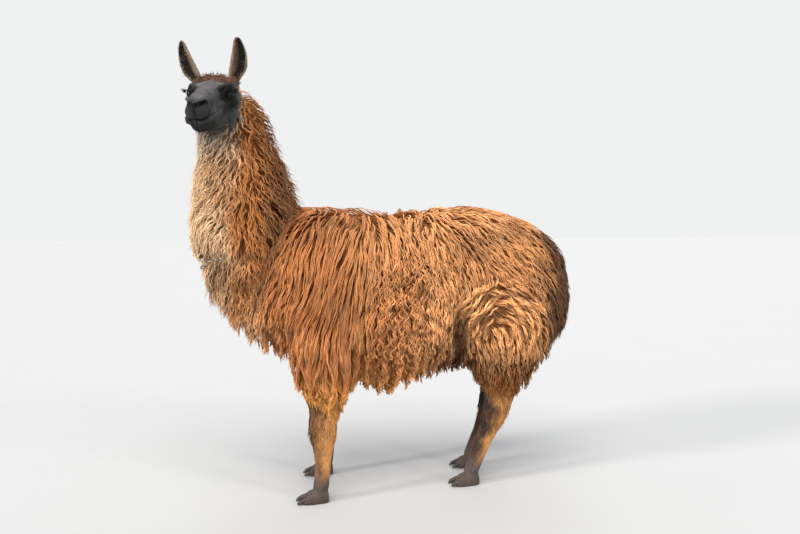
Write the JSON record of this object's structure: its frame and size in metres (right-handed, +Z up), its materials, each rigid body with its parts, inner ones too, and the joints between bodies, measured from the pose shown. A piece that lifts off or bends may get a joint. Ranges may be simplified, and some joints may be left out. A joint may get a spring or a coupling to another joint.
{
  "type": "llama",
  "caption": "Standing llama in full fleece with its head turned to its left, wearing a thin cord collar; a static life-size animal model.",
  "frame": {"origin": "on the ground, under the middle of the bounding box", "axes": "+Z up, the body faces -X, its left side is -Y"},
  "size_m": [1.5966, 0.5468, 1.7591],
  "materials": {
    "fleece": "long, wavy orange-brown fleece in locks",
    "neck": "wavy orange-brown wool, golden down the front",
    "face": "short, dense grey hair, darker round eyes and muzzle",
    "ear": "short grey-brown hair with pale rims",
    "shank": "short hair, dark in front and tan behind",
    "foot": "very short grey-brown hair over a soft padded toe",
    "tail": "long dark brown wool",
    "nail": "dark horn, slightly worn",
    "eye": "wet, nearly black",
    "collar": "braided cord of grey, tan and dark yarn"
  },
  "bodies": {
    "root": {"trunk": "fleece", "neck": "neck", "head": "face", "tail": "tail", "collar": "collar", "ear_left": "ear", "ear_right": "ear", "eye_left": "eye", "eye_right": "eye", "leg_hind_left_upper": "fleece", "leg_hind_left_shank": "shank", "leg_hind_left_foot": "foot", "nail_hind_left_inner": "nail", "nail_hind_left_outer": "nail", "leg_hind_right_upper": "fleece", "leg_hind_right_shank": "shank", "leg_hind_right_foot": "foot", "nail_hind_right_inner": "nail", "nail_hind_right_outer": "nail", "leg_fore_left_upper": "fleece", "leg_fore_left_shank": "shank", "leg_fore_left_foot": "foot", "nail_fore_left_inner": "nail", "nail_fore_left_outer": "nail", "leg_fore_right_upper": "fleece", "leg_fore_right_shank": "shank", "leg_fore_right_foot": "foot", "nail_fore_right_inner": "nail", "nail_fore_right_outer": "nail"}
  },
  "joints": []
}
